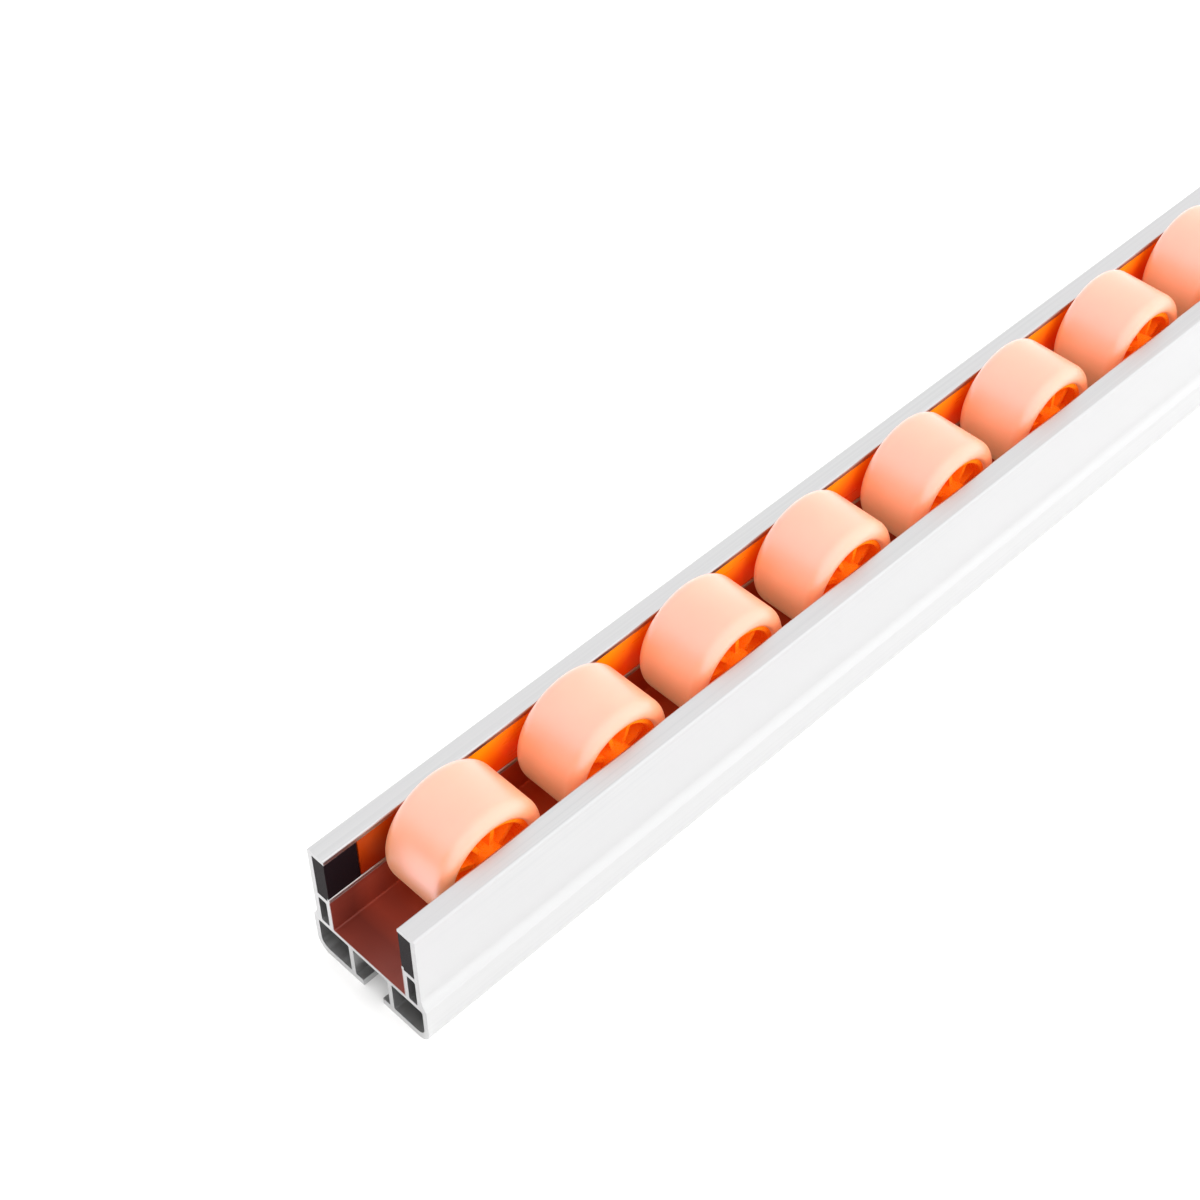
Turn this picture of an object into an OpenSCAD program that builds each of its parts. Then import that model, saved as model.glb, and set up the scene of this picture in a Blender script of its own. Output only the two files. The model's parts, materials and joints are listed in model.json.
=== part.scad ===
// Flow rack roller track: a straight aluminium rail with a row of free-running
// wheels between two moulded carrier strips. Millimetres, +Z up.
// The origin is the middle of the rail's base. X runs along the track, +Y is its
// left side, and the ends are called a (at -X) and b (at +X).

/* [Wheels] */
// Number of wheels along the track
wheel_count = 8; // [2:1:12]
// Distance from one axle to the next
wheel_pitch = 50; // [46:1:70]
// Diameter over the tread
wheel_d = 40; // [37:0.5:44]
// Width over the tread
wheel_w = 25; // [22:0.5:27]
// How far the wheels stand above the rail's lips
wheel_proud = 10; // [8:0.5:12]
// Gap between the wheels and the floor of the rail
wheel_floor_gap = 1.8; // [1:0.1:4]

/* [Tread] */
// Radius of the tread's outer shoulders
shoulder_r = 4; // [2:0.25:4.25]
// Radius of the lip where the tread meets the hub
tread_lip_r = 1.2; // [0.5:0.1:1.2]
// Thickness of the soft tread on the hub
tread_t = 5.5; // [5.5:0.25:6.5]

/* [Hub] */
// Wall thickness of the hub's rim
rim_t = 1.8; // [1.2:0.1:2.4]
// Width of the raised ring that locks the tread on the rim
key_w = 7; // [4:0.5:12]
// Height of the raised ring
key_h = 1.5; // [0.6:0.1:2]
// Number of ribs between the boss and the rim
rib_count = 8; // [5:1:10]
// Thickness of a rib
rib_t = 1.5; // [1:0.1:1.8]
// How far a rib stops short of the rim's edge
rib_setback = 2.6; // [1.5:0.1:4]
// Thickness of the disc in the middle of the hub
disc_t = 2.4; // [1.6:0.1:4]
// Radius of the fillets where the disc meets the boss and the rim
disc_fillet_r = 1; // [0.4:0.1:1.6]
// Radius on the open edges of the rim and the boss
hub_edge_r = 0.5; // [0.2:0.1:0.6]
// Diameter of the hub's boss
boss_d = 10.5; // [9:0.5:12]
// Angle that each wheel has rolled on from its neighbour
roll_step = 17; // [0:1:45]

/* [Axle] */
// Diameter of the steel axle
axle_d = 6; // [5:0.5:7]
// Radial clearance between the axle and the hub
axle_running_gap = 0.05; // [0.02:0.01:0.1]
// Radial clearance between the axle and the carrier strips
axle_seat_gap = 0.02; // [0.01:0.01:0.1]
// Chamfer on the axle's ends
axle_chamfer = 0.5; // [0.2:0.1:1]
// Gap between the hub's boss and each carrier strip
boss_side_gap = 0.35; // [0.3:0.05:1]

/* [Rail] */
// Width of the rail over its upper walls
rail_w = 44; // [43:0.5:50]
// Height of the rail without the wheels
rail_h = 48; // [46:0.5:54]
// Wall thickness of the rail
wall = 1.8; // [1.4:0.1:2.2]
// Width of each flat lip along the top
lip_w = 7; // [6:0.25:7.5]
// Radius on the edges of the lips
lip_r = 0.8; // [0.3:0.1:0.85]
// Height of the pocket that holds a carrier strip
pocket_h = 17.2; // [15:0.1:18]
// Length of bare rail beyond the carrier strips at each end
end_length = 12; // [6:1:40]

/* [Foot] */
// Height of the foot's upright sides
foot_h = 15.6; // [12:0.2:18]
// Radius of the hollow curve from the wall out to the foot
cove_r = 6; // [3:0.5:8]
// Radius of the foot's upper edge
foot_edge_r = 1.5; // [0.5:0.1:2]
// Steepest slope between the wall and the foot, from upright
foot_slope = 40; // [20:1:60]
// Radius of the foot's lower corners
foot_corner_r = 5; // [3:0.5:6]

/* [Mounting slot] */
// Width of the slot in the base
slot_w = 8.4; // [6.4:0.2:10.4]
// Width of the channel behind the slot, for a bolt head
channel_w = 14.6; // [12:0.2:18]
// Thickness of the rail's base
base_t = 2.6; // [2:0.1:3.5]

/* [Carrier strips] */
// Clearance between a strip and its pocket
strip_gap = 0.1; // [0.05:0.01:0.3]
// Thickness of the bead that keeps a strip's foot in its pocket
bead_t = 0.9; // [0.6:0.1:1.2]
// Height of the bead
bead_h = 1.2; // [0.8:0.1:1.6]
// Radius on the bead's edge towards the wheels
bead_r = 0.5; // [0.2:0.1:0.6]
// How far a strip's face lies behind the edge of the lip
strip_face_inset = 0.2; // [0.1:0.05:0.8]
// Radius on the edges of a strip's face
strip_edge_r = 0.4; // [0.2:0.1:0.8]
// Depth of the hollows in a strip's outer side
hollow_depth = 3.1; // [1:0.1:3.4]
// Wall left round the hollows
hollow_wall = 1.9; // [1.5:0.1:3]
// Width of the solid block that carries an axle
bearing_block = 13; // [10:0.5:18]
// Chamfer on an end stop's face where it meets the strip
stop_chamfer = 0.6; // [0.3:0.1:0.7]

/* [Hidden] */
$fn = 64;
eps = 0.01;

// Corner radius inside the rail's chambers
chamber_r = 0.6;

// Along the track
strip_length = wheel_count * wheel_pitch;
rail_length = strip_length + 2 * end_length;

// Across the rail
half_w = rail_w / 2;
throat = half_w - lip_w;
pocket_back = half_w - wall;
foot_half = half_w + (cove_r + foot_edge_r) * (1 - cos(foot_slope));
strip_face = throat + strip_face_inset;
strip_back = pocket_back - strip_gap;

// Up the rail
axle_z = rail_h + wheel_proud - wheel_d / 2;
floor_z = axle_z - wheel_d / 2 - wheel_floor_gap;
pocket_top = rail_h - wall;
shelf_z = pocket_top - pocket_h;
strip_top = pocket_top - strip_gap;

// Wheel
rim_r = wheel_d / 2 - tread_t;
rim_half = wheel_w / 2 - tread_lip_r;
boss_half = strip_face - boss_side_gap;
axle_half = strip_back - strip_gap;
rib_half = rim_half - rib_setback;

WHEELS = [1:wheel_count];

function wheel_x(i) = (i - (wheel_count + 1) / 2) * wheel_pitch;

// ---------- Shared shapes ----------

// What is cut from a square corner at the origin to round it; the solid lies at
// +x, +y.
module corner_cut(r) {
    difference() {
        translate([-eps, -eps]) square(r + eps);
        translate([r, r]) circle(r);
    }
}

// A rectangle from low to high whose corners are rounded by radii, in the order
// bottom left, bottom right, top right, top left. A radius of 0 leaves it sharp.
module rounded_rect(low, high, radii) {
    places = [low, [high[0], low[1]], high, [low[0], high[1]]];
    difference() {
        translate(low) square(high - low);
        for (k = [0:3])
            if (radii[k] > 0)
                translate(places[k]) rotate(90 * k) corner_cut(radii[k]);
    }
}

// A shape and its mirror image across the track's middle plane
module both_sides() {
    children();
    mirror([1, 0]) children();
}

// A section drawn in the Y-Z plane, run along X from start for a length
module run_along_x(start, length) {
    translate([start, 0, 0])
        rotate([90, 0, 90])
            linear_extrude(length) children();
}

// A profile drawn as [radius, distance along the axle], turned about a wheel's axle
module turned(i) {
    translate([wheel_x(i), 0, axle_z])
        rotate([-90, 0, 0])
            rotate_extrude($fn = 96) children();
}

// ---------- Rail ----------

// Half of the rail's outline: the upper wall, the hollow curve and the foot
module rail_outline_half() {
    cove_drop = cove_r * sin(foot_slope);
    edge_drop = foot_edge_r * sin(foot_slope);
    cove_out = cove_r * (1 - cos(foot_slope));
    rounded_rect([0, base_t], [half_w, rail_h], [0, 0, lip_r, 0]);
    rounded_rect([0, 0], [foot_half, foot_h], [0, foot_corner_r, 0, 0]);
    translate([foot_half - foot_edge_r, foot_h]) circle(foot_edge_r);
    difference() {
        translate([half_w - wall, foot_h])
            square([wall + cove_out, edge_drop + cove_drop]);
        translate([half_w + cove_r, foot_h + edge_drop + cove_drop]) circle(cove_r);
    }
}

// Half of the throat between the lips and the well that the wheels turn in, with
// the rounded edges of the lip and the bead
module throat_half() {
    rounded_rect([-eps, floor_z], [throat, rail_h + 1], [0, chamber_r, 0, 0]);
    translate([throat, rail_h]) rotate(-90) corner_cut(lip_r);
    translate([throat, shelf_z + bead_h]) rotate(-90) corner_cut(bead_r);
}

// The pocket for a carrier strip, open to the throat above the bead
module strip_pocket() {
    translate([throat + bead_t, shelf_z]) square([pocket_back - throat - bead_t, pocket_h]);
    translate([throat - eps, shelf_z + bead_h])
        square([bead_t + 2 * eps, pocket_h - bead_h]);
}

// The closed chamber between the well and the outer wall
module side_chamber() {
    low = [throat + wall, floor_z];
    high = [pocket_back, shelf_z - wall];
    rounded_rect(low, high, chamber_r * [1, 1, 1, 1]);
}

// The closed chamber in the foot, beside the mounting channel
module foot_chamber() {
    low = [channel_w / 2 + wall, base_t];
    high = [foot_half - wall, floor_z - wall];
    rounded_rect(low, high, [chamber_r, foot_corner_r - wall, chamber_r, chamber_r]);
}

// Half of the slot and channel that take mounting bolts from below
module mounting_slot_half() {
    translate([-eps, -1]) square([slot_w / 2 + eps, base_t + 2]);
    rounded_rect([-eps, base_t], [channel_w / 2, floor_z - wall], [0, 0, chamber_r, 0]);
}

module rail_section() {
    both_sides()
        difference() {
            rail_outline_half();
            throat_half();
            strip_pocket();
            side_chamber();
            foot_chamber();
            mounting_slot_half();
        }
}

module rail() {
    color("gainsboro")
        run_along_x(-rail_length / 2, rail_length) rail_section();
}

// ---------- Carrier strips ----------

// Section of the left strip: it stands on the shelf behind the bead, and its
// face comes forward over the bead
module strip_section() {
    foot_front = throat + bead_t + strip_gap;
    bead_clear = shelf_z + bead_h + strip_gap;
    translate([foot_front, shelf_z])
        square([strip_back - foot_front, strip_top - shelf_z]);
    rounded_rect([strip_face, bead_clear], [strip_back, strip_top], strip_edge_r * [1, 0, 0, 1]);
}

// Hollows in the outer side of the strip, one between each two axles and half
// a one at each end
module strip_hollows() {
    hollow_l = wheel_pitch - bearing_block;
    for (i = [0:wheel_count])
        intersection() {
            translate([wheel_x(i) + bearing_block / 2, strip_back - hollow_depth, shelf_z + hollow_wall])
                cube([hollow_l, hollow_depth + eps, strip_top - shelf_z - 2 * hollow_wall]);
            translate([-strip_length / 2 + hollow_wall, 0, 0])
                cube([strip_length - 2 * hollow_wall, half_w, rail_h]);
        }
}

module left_strip() {
    difference() {
        run_along_x(-strip_length / 2, strip_length) strip_section();
        strip_hollows();
        for (i = WHEELS)
            translate([wheel_x(i), 0, axle_z])
                rotate([-90, 0, 0]) cylinder(h = half_w, d = axle_d + 2 * axle_seat_gap);
    }
}

module carrier_strip(side) {
    color("darkorange")
        if (side == "left") left_strip();
        else mirror([0, 1, 0]) left_strip();
}

// ---------- End stops ----------

// A plug that fills the left pocket from the carrier strip to end b of the rail. It
// is chamfered where it meets the strip, and hollow in its outer side.
module left_stop_b() {
    difference() {
        run_along_x(strip_length / 2, end_length) strip_section();
        translate([strip_length / 2, strip_face, shelf_z - eps])
            linear_extrude(pocket_h) rotate(45) square(sqrt(2) * stop_chamfer, center = true);
        translate([strip_length / 2 + hollow_wall, strip_back - hollow_depth, shelf_z + hollow_wall])
            cube([end_length - 2 * hollow_wall, hollow_depth + eps, strip_top - shelf_z - 2 * hollow_wall]);
    }
}

module end_stop(side, end) {
    color("#1a1416")
        mirror([0, side == "left" ? 0 : 1, 0])
            mirror([end == "b" ? 0 : 1, 0, 0]) left_stop_b();
}

// ---------- Wheels ----------

module axle(i) {
    r = axle_d / 2;
    tip = r - axle_chamfer;
    shoulder = axle_half - axle_chamfer;
    color("silver")
        turned(i)
            polygon([[0, -axle_half], [tip, -axle_half], [r, -shoulder],
                     [r, shoulder], [tip, axle_half], [0, axle_half]]);
}

// Half section of the hub without its ribs
module hub_section() {
    bore_r = axle_d / 2 + axle_running_gap;
    rim_inner_r = rim_r - rim_t;
    rounded_rect([bore_r, -boss_half], [boss_d / 2, boss_half], hub_edge_r * [0, 1, 1, 0]);
    translate([bore_r, -disc_t / 2]) square([rim_r - rim_t / 2 - bore_r, disc_t]);
    rounded_rect([rim_inner_r, -rim_half], [rim_r, rim_half], hub_edge_r * [1, 0, 0, 1]);
    translate([rim_r - rim_t / 2, -key_w / 2]) square([key_h + rim_t / 2, key_w]);
    for (side = [0, 1])
        mirror([0, side]) {
            translate([boss_d / 2, disc_t / 2]) corner_cut(disc_fillet_r);
            translate([rim_inner_r, disc_t / 2]) mirror([1, 0]) corner_cut(disc_fillet_r);
        }
}

// A rib: full height at the boss, falling away towards the rim
module hub_rib() {
    start = boss_d / 2 - (boss_d / 2 - axle_d / 2) / 2;
    finish = rim_r - rim_t / 2;
    tall = rib_half + rib_setback / 2;
    translate([0, rib_t / 2, 0])
        rotate([90, 0, 0])
            linear_extrude(rib_t)
                polygon([[start, -tall], [finish, -rib_half], [finish, rib_half], [start, tall]]);
}

module hub(i) {
    color("orangered") {
        turned(i) hub_section();
        translate([wheel_x(i), 0, axle_z])
            rotate([-90, 0, 0])
                rotate(roll_step * i)
                    for (k = [1:rib_count])
                        rotate(360 / rib_count * k) hub_rib();
    }
}

// Half section of the tread, with the groove that the hub's ring fills
module tread_section() {
    outer_r = wheel_d / 2;
    half = wheel_w / 2;
    radii = [tread_lip_r, shoulder_r, shoulder_r, tread_lip_r];
    difference() {
        rounded_rect([rim_r, -half], [outer_r, half], radii);
        translate([rim_r - eps, -key_w / 2]) square([key_h + eps, key_w]);
    }
}

module tread(i) {
    color("peachpuff")
        turned(i) tread_section();
}

rail();
for (side = ["left", "right"]) {
    carrier_strip(side);
    for (end = ["a", "b"])
        end_stop(side, end);
}
for (i = WHEELS) {
    axle(i);
    hub(i);
    tread(i);
}
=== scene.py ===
"""Looks of the flow rack roller track: materials, floor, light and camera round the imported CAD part.

Metres, +Z up. X runs along the track, and end a, nearest the camera, is at -X. The photograph is
overexposed, so the studio is very bright, and the strips, hubs and treads give off a faint light.
"""

import json
import math

import bpy
from mathutils import Matrix, Vector


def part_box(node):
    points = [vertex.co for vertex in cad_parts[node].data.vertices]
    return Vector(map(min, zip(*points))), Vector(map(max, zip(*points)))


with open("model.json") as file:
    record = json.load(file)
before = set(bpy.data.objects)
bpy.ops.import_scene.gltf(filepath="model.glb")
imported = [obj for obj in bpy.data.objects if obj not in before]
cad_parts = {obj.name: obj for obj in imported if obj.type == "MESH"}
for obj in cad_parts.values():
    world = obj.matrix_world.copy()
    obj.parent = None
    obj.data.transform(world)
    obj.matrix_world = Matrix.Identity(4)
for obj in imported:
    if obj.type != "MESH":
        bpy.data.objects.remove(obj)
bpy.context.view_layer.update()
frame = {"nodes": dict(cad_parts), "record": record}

MM = 0.001

rail_low, rail_high = (Vector(corner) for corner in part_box("rail"))
strip_low, strip_high = (Vector(corner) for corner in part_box("carrier_strip_left"))


def middle(node):
    """The middle of a node's box at rest."""
    low, high = (Vector(corner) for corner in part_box(node))
    return (low + high) / 2


first_wheel = middle("tread_1").x
wheel_pitch = middle("tread_2").x - first_wheel


# ---------- Node helpers ----------


class Nodes:
    """A node tree, with short ways to add and join nodes."""

    def __init__(self, owner, shader):
        owner.use_nodes = True
        self.tree = owner.node_tree
        self.shader = self.tree.nodes[shader]

    def add(self, kind, inputs=None, **settings):
        node = self.tree.nodes.new(kind)
        for key, value in settings.items():
            setattr(node, key, value)
        for key, value in (inputs or {}).items():
            self.put(node.inputs[key], value)
        return node

    def put(self, socket, value):
        if isinstance(value, bpy.types.NodeSocket):
            self.tree.links.new(value, socket)
        else:
            socket.default_value = value

    def shade(self, **values):
        """Sets the shader's sockets: Base_Color stands for the socket Base Color."""
        for key, value in values.items():
            self.put(self.shader.inputs[key.replace("_", " ")], value)

    def place(self):
        """Where a point is in the part's own frame, which turns with its wheel."""
        return self.add("ShaderNodeTexCoord").outputs["Object"]

    def split(self, vector):
        outputs = self.add("ShaderNodeSeparateXYZ", {"Vector": vector}).outputs
        return outputs["X"], outputs["Y"], outputs["Z"]

    def scaled(self, vector, scale):
        node = self.add("ShaderNodeMapping", {"Vector": vector, "Scale": scale})
        return node.outputs["Vector"]

    def noise(self, vector, scale, detail=4.0):
        """Noise with about that many grains in a metre."""
        node = self.add("ShaderNodeTexNoise",
                        {"Vector": vector, "Scale": scale, "Detail": detail, "Roughness": 0.55})
        return node.outputs["Fac"]

    def spread(self, value, low, high, to_low=0.0, to_high=1.0, smooth=False):
        """Maps the range from low to high onto the range from to_low to to_high, and holds it there."""
        node = self.add("ShaderNodeMapRange", {"Value": value, "From Min": low, "From Max": high,
                                               "To Min": to_low, "To Max": to_high})
        node.interpolation_type = "SMOOTHSTEP" if smooth else "LINEAR"
        return node.outputs["Result"]

    def maths(self, operation, a, b=0.0, c=0.0):
        return self.add("ShaderNodeMath", {0: a, 1: b, 2: c}, operation=operation).outputs["Value"]

    def plus(self, a, b):
        return self.maths("ADD", a, b)

    def times(self, a, b):
        return self.maths("MULTIPLY", a, b)

    def mix(self, amount, a, b):
        node = self.add("ShaderNodeMix", {"Factor": amount, "A": a, "B": b}, data_type="RGBA")
        return node.outputs["Result"]

    def bump(self, height, strength, distance):
        node = self.add("ShaderNodeBump", {"Height": height, "Strength": strength, "Distance": distance})
        return node.outputs["Normal"]


def rgba(r, g, b):
    return (r, g, b, 1.0)


def new_material(name):
    """A new material, and its node tree."""
    material = bpy.data.materials.new(name)
    return material, Nodes(material, "Principled BSDF")


# ---------- Materials ----------


def painted_well_shade(m, place, clouds):
    """1 in the well and 0 elsewhere on the rail, and the well's painted colour: a dark reddish brown of
    painted shade and painted orange reflection.
    """
    x, y, z = m.split(place)
    from_middle = m.maths("ABSOLUTE", x)
    across = m.maths("ABSOLUTE", y)

    # The painted shade begins just under the well's floor, clear of the channel below it.
    shade_start = 15.6 * MM
    shade_full = 16.0 * MM
    inside = m.spread(across, strip_low.y + 0.3 * MM, strip_low.y - 0.2 * MM)
    below_strips = m.spread(z, strip_low.z + 0.4 * MM, strip_low.z - 0.4 * MM)
    above_channel = m.spread(z, shade_start, shade_full)
    well = m.times(m.times(inside, below_strips), above_channel)

    # Painted orange reflection makes it redder among the wheels, and painted shade makes it darkest at the
    # open ends.
    painted_well_colour = m.mix(m.spread(clouds, 0.4, 0.6), rgba(0.33, 0.052, 0.030), rgba(0.41, 0.070, 0.038))
    painted_orange_reflection = m.spread(from_middle, strip_high.x - 7.0 * MM, strip_high.x - 20.0 * MM)
    painted_well_colour = m.mix(painted_orange_reflection, painted_well_colour, rgba(0.50, 0.052, 0.010))
    open_end_shade = m.spread(from_middle, strip_high.x - 2.0 * MM, strip_high.x + 4.0 * MM, 0.0, 0.8)
    painted_well_colour = m.mix(open_end_shade, painted_well_colour, rgba(0.16, 0.025, 0.016))
    return well, painted_well_colour


def aluminium():
    """Satin extruded aluminium: die lines along X, saw marks on the cut ends, painted brown shade and
    painted orange reflection in the well.
    """
    material, m = new_material("satin_aluminium")
    place = m.place()
    x, _, z = m.split(place)
    streaks = m.noise(m.scaled(place, (3.0, 1400.0, 1400.0)), 1.0, detail=3.0)
    clouds = m.noise(place, 26.0, detail=2.0)
    grain = m.noise(m.scaled(place, (90.0, 900.0, 900.0)), 1.0, detail=2.0)
    saw = m.noise(m.scaled(place, (1.0, 130.0, 3200.0)), 1.0, detail=3.0)

    # Painted light: the metal is painted a little paler from the lips down to the foot.
    foot_height = 8.0 * MM
    tone = m.mix(m.spread(streaks, 0.35, 0.65), rgba(0.485, 0.487, 0.492), rgba(0.535, 0.535, 0.538))
    tone = m.mix(m.spread(clouds, 0.35, 0.65, 0.0, 0.5), tone, rgba(0.52, 0.512, 0.52))
    tone = m.mix(m.spread(z, rail_high.z, foot_height), tone, rgba(0.565, 0.565, 0.567))

    cut_face = m.spread(m.maths("ABSOLUTE", x), rail_high.x - 0.10 * MM, rail_high.x - 0.02 * MM)
    saw_marks = m.times(m.times(cut_face, saw), 3.0)
    tone = m.mix(m.times(cut_face, m.spread(saw, 0.35, 0.65, 0.0, 0.5)), tone, rgba(0.40, 0.40, 0.41))

    # The well gets painted shade and painted orange reflection.
    well, painted_well_colour = painted_well_shade(m, place, clouds)
    m.shade(Base_Color=m.mix(well, tone, painted_well_colour),
            Metallic=m.spread(well, 0.0, 1.0, 1.0, 0.25),
            Roughness=m.spread(streaks, 0.3, 0.7, 0.30, 0.42),
            Normal=m.bump(m.plus(m.plus(streaks, grain), saw_marks), 0.25, 0.02 * MM))
    return material


def strip_plastic():
    """Glossy orange moulding with a faint ripple, and painted shade at the strips' open ends.

    In each bay between two wheels painted light and shade run from gold, high up past one wheel, to red, low
    before the next.
    """
    material, m = new_material("orange_strip_plastic")
    place = m.place()
    x, _, z = m.split(place)
    ripple = m.noise(m.scaled(place, (60.0, 60.0, 300.0)), 1.0, detail=2.0)
    clouds = m.noise(place, 60.0)
    height = m.plus(z, m.spread(clouds, 0.3, 0.7, -1.0 * MM, 1.0 * MM))
    # Painted light and shade: gold where the strip is high up and lit, red where it is low and shaded.
    shaded_red_height = 33.0 * MM
    end_shade_gold_height = 44.0 * MM
    lit_gold_height = 45.0 * MM

    # bay runs from 0 at one wheel's axle to 1 at the next one's.
    bay = m.maths("FRACT", m.maths("MULTIPLY_ADD", x, 1.0 / wheel_pitch, -first_wheel / wheel_pitch))
    lift = 1.5 * MM
    drop = -4.0 * MM
    # Painted shade in each bay: the gold rises past one wheel and sinks before the next.
    bay_shade_shift = m.maths("MINIMUM",
                    m.spread(bay, 0.0, 0.1, drop, lift),
                    m.spread(bay, 0.40, 0.64, lift, drop))
    painted_lit_amount = m.spread(m.plus(height, bay_shade_shift), shaded_red_height, lit_gold_height)
    painted_light_colour = m.mix(painted_lit_amount, rgba(0.96, 0.065, 0.001), rgba(0.96, 0.29, 0.002))

    # Painted shade: darker, redder colour and weaker glow towards the strips' open ends.
    from_middle = m.plus(m.maths("ABSOLUTE", x), m.spread(clouds, 0.3, 0.7, 0.0, 1.0 * MM))
    end_shade = m.spread(from_middle, strip_high.x - 26.0 * MM, strip_high.x - 14.0 * MM, smooth=True)
    end_shade_colour = m.mix(m.spread(height, shaded_red_height, end_shade_gold_height),
                 rgba(0.24, 0.014, 0.0005), rgba(0.38, 0.042, 0.001))

    m.shade(Base_Color=m.mix(end_shade, painted_light_colour, end_shade_colour),
            Roughness=m.spread(ripple, 0.3, 0.7, 0.26, 0.38),
            Normal=m.bump(ripple, 0.1, 0.04 * MM),
            Emission_Color=m.mix(end_shade, rgba(1.0, 0.10, 0.002), rgba(0.1, 0.005, 0.0)))
    # Painted glow: the strip gives off a faint orange light, though it is no lamp.
    m.shade(Emission_Strength=0.03, Specular_IOR_Level=0.3)
    return material


def stop_plastic():
    """Black moulding with a fine matt grain. Its black is painted shade: a dark part set where the rail's
    open ends hold deep shade.
    """
    material, m = new_material("shade_black_stop_plastic")
    grain = m.noise(m.place(), 2600.0, detail=2.0)
    m.shade(Base_Color=m.mix(grain, rgba(0.004, 0.002, 0.003), rgba(0.010, 0.006, 0.008)),
            Roughness=m.spread(grain, 0.3, 0.7, 0.45, 0.6),
            Normal=m.bump(grain, 0.3, 0.04 * MM))
    m.shade(Specular_IOR_Level=0.06)
    return material


def axle_steel():
    """Ground steel with fine rings round it."""
    material, m = new_material("ground_steel")
    rings = m.noise(m.scaled(m.place(), (200.0, 6000.0, 200.0)), 1.0, detail=2.0)
    m.shade(Base_Color=m.mix(rings, rgba(0.50, 0.50, 0.51), rgba(0.66, 0.66, 0.67)),
            Roughness=m.spread(rings, 0.3, 0.7, 0.22, 0.36),
            Normal=m.bump(rings, 0.2, 0.01 * MM))
    m.shade(Metallic=1.0)
    return material


def hub_plastic():
    """Glossy orange moulding with a faint cloudiness and a fine skin."""
    material, m = new_material("orange_hub_plastic")
    place = m.place()
    flow = m.noise(place, 140.0, detail=3.0)
    skin = m.noise(place, 1500.0, detail=2.0)
    m.shade(Base_Color=m.mix(m.spread(flow, 0.35, 0.65),
                             rgba(0.94, 0.20, 0.005), rgba(0.98, 0.245, 0.008)),
            Roughness=m.spread(skin, 0.3, 0.7, 0.24, 0.34),
            Normal=m.bump(skin, 0.12, 0.02 * MM))
    # Painted glow: the hub gives off a faint orange light, though it is no lamp.
    m.shade(Emission_Color=rgba(1.0, 0.12, 0.003), Emission_Strength=0.09)
    return material


def tread_rubber():
    """Soft, slightly translucent peach tread, with a pale satin veil where it mirrors the bright sky."""
    material, m = new_material("peach_tread")
    place = m.place()
    flow = m.noise(place, 55.0, detail=2.0)
    skin = m.noise(place, 1200.0, detail=3.0)
    m.shade(Base_Color=m.mix(m.spread(flow, 0.35, 0.65),
                             rgba(0.72, 0.232, 0.117), rgba(0.74, 0.252, 0.133)),
            Roughness=m.spread(skin, 0.3, 0.7, 0.36, 0.46),
            Normal=m.bump(skin, 0.1, 0.02 * MM))
    m.shade(Subsurface_Weight=0.4,
            Subsurface_Radius=(6.0 * MM, 2.0 * MM, 1.0 * MM),
            Subsurface_Scale=1.0,
            Specular_IOR_Level=1.0,
            Specular_Tint=rgba(1.0, 0.35, 1.0),
            Coat_Weight=1.0,
            Coat_Roughness=0.36,
            Coat_IOR=2.05,
            # Painted glow: the tread gives off a faint peach light, though it is no lamp.
            Emission_Color=rgba(1.0, 0.72, 0.34),
            Emission_Strength=0.17)
    return material


def dress_nodes():
    """Gives every CAD node the material of its slot."""
    finishes = {
        "rail_aluminium": aluminium(),
        "strip_plastic": strip_plastic(),
        "stop_plastic": stop_plastic(),
        "axle_steel": axle_steel(),
        "hub_plastic": hub_plastic(),
        "tread_rubber": tread_rubber(),
    }
    for part in frame["record"]["subparts"]:
        obj = frame["nodes"][part["node"]]
        obj.data.materials.clear()
        obj.data.materials.append(finishes[part["material_slot"]])


# ---------- Floor, light and camera ----------


def floor():
    """A plain pale floor, far wider than the part."""
    half = 20.0
    corners = [(-half, -half, 0), (half, -half, 0), (half, half, 0), (-half, half, 0)]
    mesh = bpy.data.meshes.new("floor")
    mesh.from_pydata(corners, [], [(0, 1, 2, 3)])
    obj = bpy.data.objects.new("floor", mesh)
    bpy.context.scene.collection.objects.link(obj)
    material, m = new_material("pale_floor")
    m.shade(Base_Color=rgba(0.97, 0.97, 0.97), Roughness=0.8)
    mesh.materials.append(material)


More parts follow.
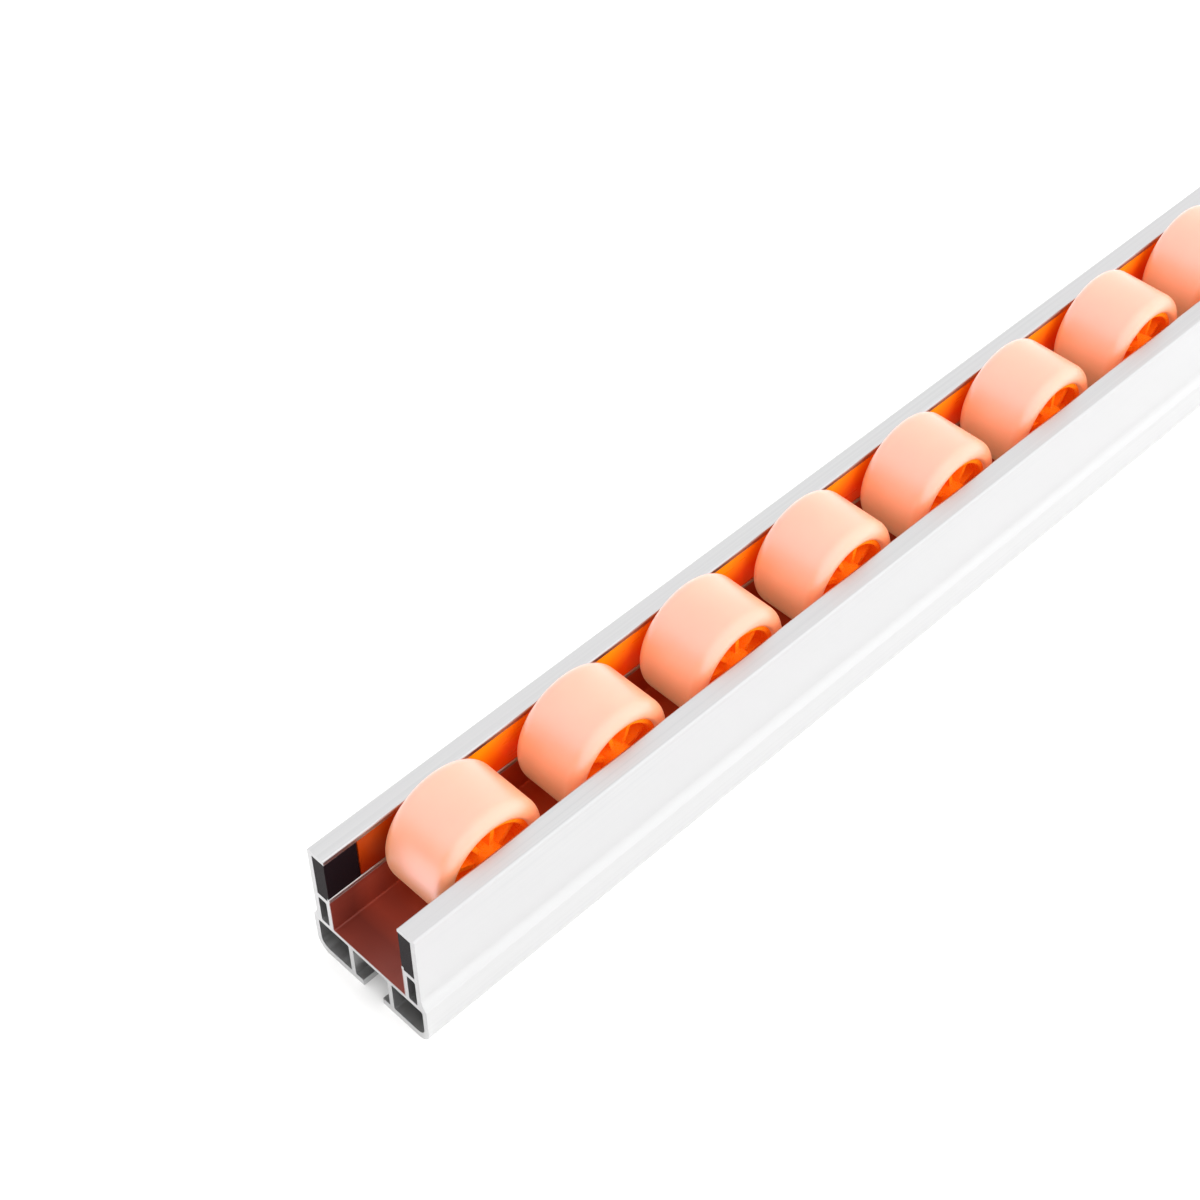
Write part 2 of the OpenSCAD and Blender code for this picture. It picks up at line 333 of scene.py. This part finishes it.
def studio_world():
    """A soft white studio, which the camera itself sees as plain white.

    The sky is brighter towards -Y, and dim low down except towards end b, which keeps the form of the
    outer wall. It is also dim and brownish straight out beyond end a, where the wheels' lower fronts
    mirror it.
    """
    world = bpy.data.worlds.new("studio")
    sky = Nodes(world, "Background")
    x, y, z = sky.split(sky.add("ShaderNodeTexCoord").outputs["Generated"])
    camera_ray = sky.add("ShaderNodeLightPath").outputs["Is Camera Ray"]
    low_light = 0.55

    strength = sky.spread(y, 0.2, -0.4, 1.45, 1.8, smooth=True)
    high_up = sky.spread(z, 0.0, 0.4, low_light, 1.0, smooth=True)
    towards_end_b = sky.spread(x, 0.1, 0.42, low_light, 1.0, smooth=True)
    strength = sky.times(strength, sky.maths("MAXIMUM", high_up, towards_end_b))

    white = sky.maths("MAXIMUM", sky.spread(x, -0.86, -0.72, smooth=True), camera_ray)
    sky.shade(Color=sky.mix(white, rgba(0.36, 0.32, 0.26), rgba(1.0, 1.0, 1.0)),
              Strength=sky.spread(camera_ray, 0.0, 1.0, strength, 1.0))
    bpy.context.scene.world = world


def key_light():
    """A large softbox beyond end b, on the near side. It isn't mirrored, so it leaves no highlight."""
    stand = Vector((0.9, -1.3, 1.0))
    data = bpy.data.lights.new("key", "AREA")
    data.shape = "RECTANGLE"
    data.size = 3.6
    data.size_y = 2.0
    data.energy = 40.0
    obj = bpy.data.objects.new("key", data)
    obj.location = stand
    obj.rotation_euler = (-stand).to_track_quat("-Z", "Y").to_euler()
    obj.visible_glossy = False
    bpy.context.scene.collection.objects.link(obj)


def camera():
    """Stands as the photograph's camera did: its place and lens come from a fit to edges in the photo."""
    yaw = 0.7703
    tilt = 0.8225
    roll = -0.0142
    distance = 0.68125
    aim = Vector((rail_low.x + 0.12075, 0.03057, rail_high.z))

    forward = Vector((math.sin(yaw) * math.cos(tilt),
                      math.cos(yaw) * math.cos(tilt),
                      -math.sin(tilt)))
    level = Vector((math.cos(yaw), -math.sin(yaw), 0))
    upright = level.cross(forward)
    right = math.cos(roll) * level + math.sin(roll) * upright
    up = math.cos(roll) * upright - math.sin(roll) * level

    data = bpy.data.cameras.new("camera")
    data.lens = 68.48
    data.clip_start = 0.01
    obj = bpy.data.objects.new("camera", data)
    turn = Matrix((right, up, -forward)).transposed().to_4x4()
    obj.matrix_world = Matrix.Translation(aim - distance * forward) @ turn
    bpy.context.scene.collection.objects.link(obj)
    bpy.context.scene.camera = obj


dress_nodes()
floor()
studio_world()
key_light()
camera()
bpy.context.scene.view_settings.view_transform = "Standard"
